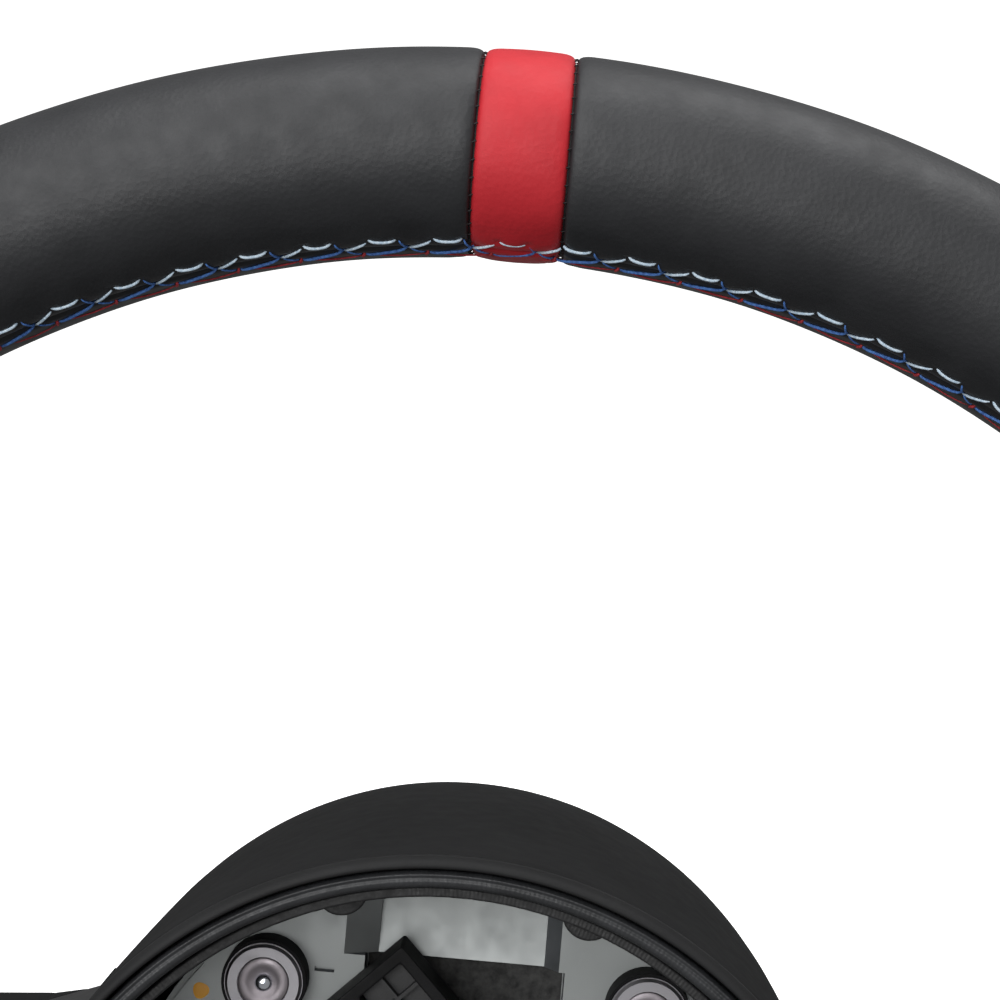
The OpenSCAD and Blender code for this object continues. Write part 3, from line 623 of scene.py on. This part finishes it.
def side_seams():
    """Fine black stitches that cross each seam between two panels."""
    pitch, half_stitch = 2.7 * MM, 0.5 * MM
    drop = np.array([-0.95, -0.7, -0.62, -0.7, -0.95]) * MM
    lean = np.linspace(-0.012, 0.012, 5)
    batch = Batch()
    lines = [line_at(side * (BAND_HALF + 0.15 * MM)) for side in (-1, 1)]
    lines += [ray_at(degrees) for degrees in (-UPPER, UPPER, -LOWER, LOWER)]
    tilts = np.radians(np.linspace(-40, 320, 900))
    radii, ahead = section_point(tilts)
    run = np.concatenate([[0], np.cumsum(np.hypot(np.diff(radii), np.diff(ahead)))])
    for line in lines:
        for place in np.arange(0.6 * MM, run[-1], pitch):
            tilt = np.interp(place, run, tilts)
            r = section_point(tilt)[0]
            turn = line(r) + np.linspace(-half_stitch / r, half_stitch / r, 5)
            batch.add(*tube(rim_point(turn, tilt + lean, drop), 0.11 * MM, 6))
    batch.piece("panel_stitches", SEAM_DARK, "wheel", "black_leather")


side_seams()


# ---- Hub ----
# Radii, and distances s behind the rim plane, are in millimetres here; at() turns them into metres.

def lathe(name, profile, paint, steps):
    """Spins (distance from the axis, Y) pairs round the column's axis."""
    angles = np.linspace(0, 2 * math.pi, steps, endpoint=False)
    verts = []
    for a in angles:
        for r, y in profile:
            verts.append((r * math.sin(a), y, r * math.cos(a)))
    return add_piece(name, verts, grid_faces(steps, len(profile), True, True), paint, "wheel")


def rounded(points, radius, steps=5):
    """The closed outline through points with each corner rounded."""
    out = []
    count = len(points)
    for i, p in enumerate(points):
        p = Vector(p)
        before, after = Vector(points[i - 1]) - p, Vector(points[(i + 1) % count]) - p
        cut = min(radius, before.length * 0.45, after.length * 0.45)
        a, b = p + before.normalized() * cut, p + after.normalized() * cut
        for t in np.linspace(0, 1, steps):
            out.append(tuple((1 - t) ** 2 * a + 2 * t * (1 - t) * p + t * t * b))
    return out


def at(r, s):
    """Radius and distance behind the rim plane, both in millimetres, as a lathe point."""
    return (r * MM, RIM_Y + s * MM)


def bezel():
    """The ridged ring round the airbag bay, with rolled ribs and a fine milled edge."""
    section = [(62.2, -6), (64.7, -6), (64.75, -14.9), (64.3, -15.9), (63.75, -15.5), (63.35, -15.8),
               (62.6, -15.5), (62.15, -14.7)]
    outline = rounded([at(r, s) for r, s in section], 0.35 * MM)
    made = lathe("bezel_ridges", outline, BEZEL_PLASTIC, 480)
    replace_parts(made, "bezel_ring")


bezel()


def bezier(p0, p1, p2, p3, count):
    """Points along a cubic curve."""
    t = np.linspace(0, 1, count)[:, None]
    p0, p1, p2, p3 = (np.array(p) for p in (p0, p1, p2, p3))
    return (1 - t) ** 3 * p0 + 3 * t * (1 - t) ** 2 * p1 + 3 * t**2 * (1 - t) * p2 + t**3 * p3


def housing():
    """The shell round the back of the hub, with a rolled front edge and a soft shoulder."""
    wall, back_starts = 1.7, 60
    front_r, front_s, draw_in, wall_long = 66.9, -15.6, 0.9, 61
    side = [(front_r - draw_in * ((s - front_s) / wall_long) ** 2, s) for s in np.linspace(-15.0, 44, 14)]
    shoulder = [tuple(p) for p in bezier((65.9, 46), (65.2, 66), (60, 76.5), (43, 77.9), 16)]
    outside = side + shoulder
    inside = [(r - wall, s) if s < back_starts else (r - wall / 2, s - wall)
              for r, s in reversed(outside)]
    lip = [(65.2, -15.5), (65.3, -16.2), (65.6, -16.55), (66.0, -16.55), (66.4, -16.3), (66.7, -15.8)]
    profile = [at(r, s) for r, s in outside + inside + lip]
    made = lathe("housing_shell", profile, SHELL_PLASTIC, 300)
    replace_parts(made, "rear_shell")
    bead = [(66.95, -14.2), (66.93, -15.2), (66.7, -15.95), (66.35, -16.45), (65.9, -16.66),
            (65.5, -16.62), (65.25, -16.2), (65.9, -15.6), (66.3, -14.8)]
    lathe("housing_edge", [at(r, s) for r, s in bead], SHELL_EDGE, 360)


housing()


def channel_casting():
    """The rough casting skin on the floor of the armature's channel, painted dark as the shade in that
    recess.
    """
    columns, rows, floor_s = 100, 84, 32.85
    across = np.linspace(-15.8, 17.8, columns) * MM
    up = np.linspace(11.2, 39.3, rows) * MM
    x, z = np.meshgrid(across, up, indexing="ij")
    rough = np.zeros_like(x)
    for _ in range(26):
        angle, size = rng.uniform(0, math.pi), rng.uniform(0.8, 4) * MM
        along = (x * math.cos(angle) + z * math.sin(angle)) / size
        rough += np.sin(along * 2 * math.pi + rng.uniform(0, 6)) * size * 0.012
    y = RIM_Y + floor_s * MM - np.abs(rough)
    verts = np.stack([x, y, z], -1).reshape(-1, 3)
    add_piece("channel_casting", verts, grid_faces(columns, rows), SHADED_ROUGH_CAST, "wheel")


channel_casting()


BOX_FACES = [(0, 1, 3, 2), (4, 6, 7, 5), (0, 4, 5, 1), (2, 3, 7, 6), (0, 2, 6, 4), (1, 5, 7, 3)]


def box_at(batch, centre, size, turn):
    """Adds a box turned about the column's axis.

    centre is (x, distance behind the rim plane, z) and size follows the same axes, in millimetres.
    """
    x0, s0, z0 = centre
    cos, sin = math.cos(turn), math.sin(turn)
    verts = []
    for dx, ds, dz in itertools.product((-1, 1), repeat=3):
        x, s, z = dx * size[0] / 2, ds * size[1] / 2, dz * size[2] / 2
        verts.append(((x0 + x * cos - z * sin) * MM, RIM_Y + (s0 + s) * MM, (z0 + x * sin + z * cos) * MM))
    batch.add(np.array(verts), BOX_FACES)


def connector_inside():
    """Floors and thin ribs in the four cells of the connector."""
    middle_x, middle_z, turn = -9.5, 26.7, math.radians(45)
    half_pitch, inner, rib = 5.5, 8.7, 0.6
    batch = Batch()
    for u, v in itertools.product((-half_pitch, half_pitch), repeat=2):
        x = middle_x + u * math.cos(turn) - v * math.sin(turn)
        z = middle_z + u * math.sin(turn) + v * math.cos(turn)
        box_at(batch, (x, 21.8, z), (inner, 0.3, inner), turn)
        box_at(batch, (x, 20.9, z), (rib, 1.6, inner), turn)
        box_at(batch, (x, 20.7, z + 0.01), (inner, 1.3, rib), turn)
    batch.piece("connector_inside", CONNECTOR_INSIDE, "wheel", "connector_plastic", smooth=False)


connector_inside()


def bush_pins():
    """The plate that shows inside each guide bush, and the bright rounded tip of its pin."""
    low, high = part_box("guide_bushes")
    bush_r = 6.6 * MM
    side = (high.x - low.x) / 2 - bush_r
    plate_s, tip_r, tip_high = 22.3, 1.5, 0.9
    plate = [(4.3, 0.55), (4.3, -0.05), (4.1, -0.2), (3.1, -0.25), (2.6, -0.1), (1.9, 0.15), (0.02, 0.2)]
    tip = [(tip_r * math.cos(a), 0.15 - tip_high * math.sin(a)) for a in np.linspace(0, 0.49 * math.pi, 7)]
    angles = np.linspace(0, 2 * math.pi, 40, endpoint=False)
    plates, tips = Batch(), Batch()
    for x, z in ((side, high.z - bush_r), (-side, high.z - bush_r), (0, low.z + bush_r)):
        for batch, profile in ((plates, plate), (tips, tip)):
            verts = [(x + r * MM * math.sin(a), RIM_Y + (plate_s + s) * MM, z + r * MM * math.cos(a))
                     for r, s in profile for a in angles]
            batch.add(np.array(verts), grid_faces(len(profile), len(angles), wrap_columns=True))
    plates.piece("bush_plates", BUSH_PLATE, "wheel", "turned_steel")
    tips.piece("pin_tips", PIN_STEEL, "wheel", "turned_steel")


bush_pins()


def spoke_seals():
    """Dark strips that close the seam between the housing and each spoke."""
    outline = [(66.2, -4), (67.3, -4.3), (67.6, 0), (67.6, 36), (66.4, 37.5), (65.6, 37.5)]
    batch = Batch()
    for middle, half in ((90, 27), (270, 27), (180, 20)):
        angles = np.radians(np.linspace(middle - half, middle + half, 60))
        verts = [(r * MM * math.sin(a), RIM_Y + s * MM, r * MM * math.cos(a))
                 for a in angles for r, s in outline]
        batch.add(np.array(verts), grid_faces(len(angles), len(outline), wrap_columns=True))
    batch.piece("spoke_seals", SLEEVE_RUBBER, "wheel", "housing_plastic")


spoke_seals()


def inspection_mark():
    """A small dab of orange paint on the armature's left pad."""
    middle_x, middle_z, pad_s = -43.4, 30.9, 26.98
    radius, steps = 1.4, 28
    # Rings as a share of the radius, with their height over the pad
    rings = ((0.6, 0.1), (0.92, 0.05), (1.0, 0.0))
    verts = [(middle_x * MM, RIM_Y + (pad_s - 0.12) * MM, middle_z * MM)]
    for share, height in rings:
        for a in np.linspace(0, 2 * math.pi, steps, endpoint=False):
            r = radius * share * (1 + 0.06 * math.sin(3 * a + 1))
            x, z = middle_x + r * math.cos(a), middle_z + r * math.sin(a)
            verts.append((x * MM, RIM_Y + (pad_s - height) * MM, z * MM))
    faces = [(0, 1 + k, 1 + (k + 1) % steps) for k in range(steps)]
    faces += [tuple(i + 1 for i in face) for face in grid_faces(len(rings), steps, wrap_columns=True)]
    add_piece("inspection_mark", verts, faces, ORANGE, "wheel")


inspection_mark()


# ---- Softened edges on the CAD pieces that show ----

def soften(name, width):
    """Rounds a CAD piece's sharp edges."""
    weld = nodes[name].modifiers.new("weld", "WELD")
    weld.merge_threshold = 0.005 * MM
    bevel = nodes[name].modifiers.new("bevel", "BEVEL")
    bevel.width = width
    bevel.segments = 3
    bevel.limit_method = "ANGLE"
    bevel.angle_limit = math.radians(35)
    bevel.harden_normals = True


# Width of the rounding, and the pieces that have it
SOFT_EDGES = {
    0.9 * MM: ["left_pod_cover", "right_pod_cover", "lower_trim", "left_spoke_back", "right_spoke_back",
               "lower_spoke_back"],
    0.6 * MM: ["left_paddle", "right_paddle", "armature"],
    0.4 * MM: ["left_upper_key", "left_lower_key", "right_upper_key", "right_lower_key", "connector_block",
               "left_paddle_bracket", "right_paddle_bracket", "bay_liner"],
    0.3 * MM: ["column_hub", "coupling_hub", "release_collar"],
}
for width, names in SOFT_EDGES.items():
    for name in names:
        soften(name, width)


# ---- Floor and light ----

def sweep_backdrop():
    """A pale floor that curves up into a round wall, the same from every side."""
    floor_z = -RIM_OUT - 2 * MM
    radius, fillet, top_z = 4.0, 1.2, 6.0
    profile = [(0.02, floor_z), (radius - fillet, floor_z)]
    for a in np.linspace(0, math.pi / 2, 14)[1:]:
        profile.append((radius - fillet + fillet * math.sin(a), floor_z + fillet * (1 - math.cos(a))))
    profile.append((radius, top_z))
    angles = np.linspace(0, 2 * math.pi, 72, endpoint=False)
    verts = [(r * math.sin(a), r * math.cos(a), z) for a in angles for r, z in profile]
    faces = grid_faces(len(angles), len(profile), wrap_rows=True)
    faces.append(tuple(k * len(profile) for k in range(len(angles))))
    p = Paint("backdrop", (0.9, 0.9, 0.9), 0.9, Emission_Color=(1, 1, 1, 1), Emission_Strength=0.9)
    p.color(p.mix(p.noise(1.5, 2), (0.84, 0.84, 0.84), (0.88, 0.88, 0.88)))
    floor = add_piece("backdrop", verts, faces, p.mat, None)
    floor.visible_diffuse = False
    floor.visible_glossy = False
    floor.visible_shadow = False


def area_light(name, place, target, size, power):
    data = bpy.data.lights.new(name, "AREA")
    data.shape = "RECTANGLE"
    data.size, data.size_y = size
    data.energy = power
    made = bpy.data.objects.new(name, data)
    made.location = place
    made.rotation_euler = (Vector(target) - Vector(place)).to_track_quat("-Z", "Y").to_euler()
    bpy.context.scene.collection.objects.link(made)
    return made


def studio():
    """A dim white world, a large light above and one in front, and a weak one behind."""
    world = bpy.data.worlds.new("studio")
    bpy.context.scene.world = world
    world.use_nodes = True
    world.node_tree.nodes["Background"].inputs["Color"].default_value = (1, 1, 1, 1)
    world.node_tree.nodes["Background"].inputs["Strength"].default_value = 0.24
    area_light("overhead", (0.12, RIM_Y - 0.25, 1.25), (0, RIM_Y, 0.1), (1.8, 1.0), 17.5)
    area_light("front_fill", (-0.55, RIM_Y - 1.5, 0.5), (0, RIM_Y, 0.05), (1.6, 1.5), 27.5)
    behind = area_light("back_fill", (0.4, 1.7, 0.6), (0, 0, 0), (1.4, 1.2), 14)
    behind.visible_glossy = False


sweep_backdrop()
studio()
bpy.context.scene.view_settings.view_transform = "Standard"
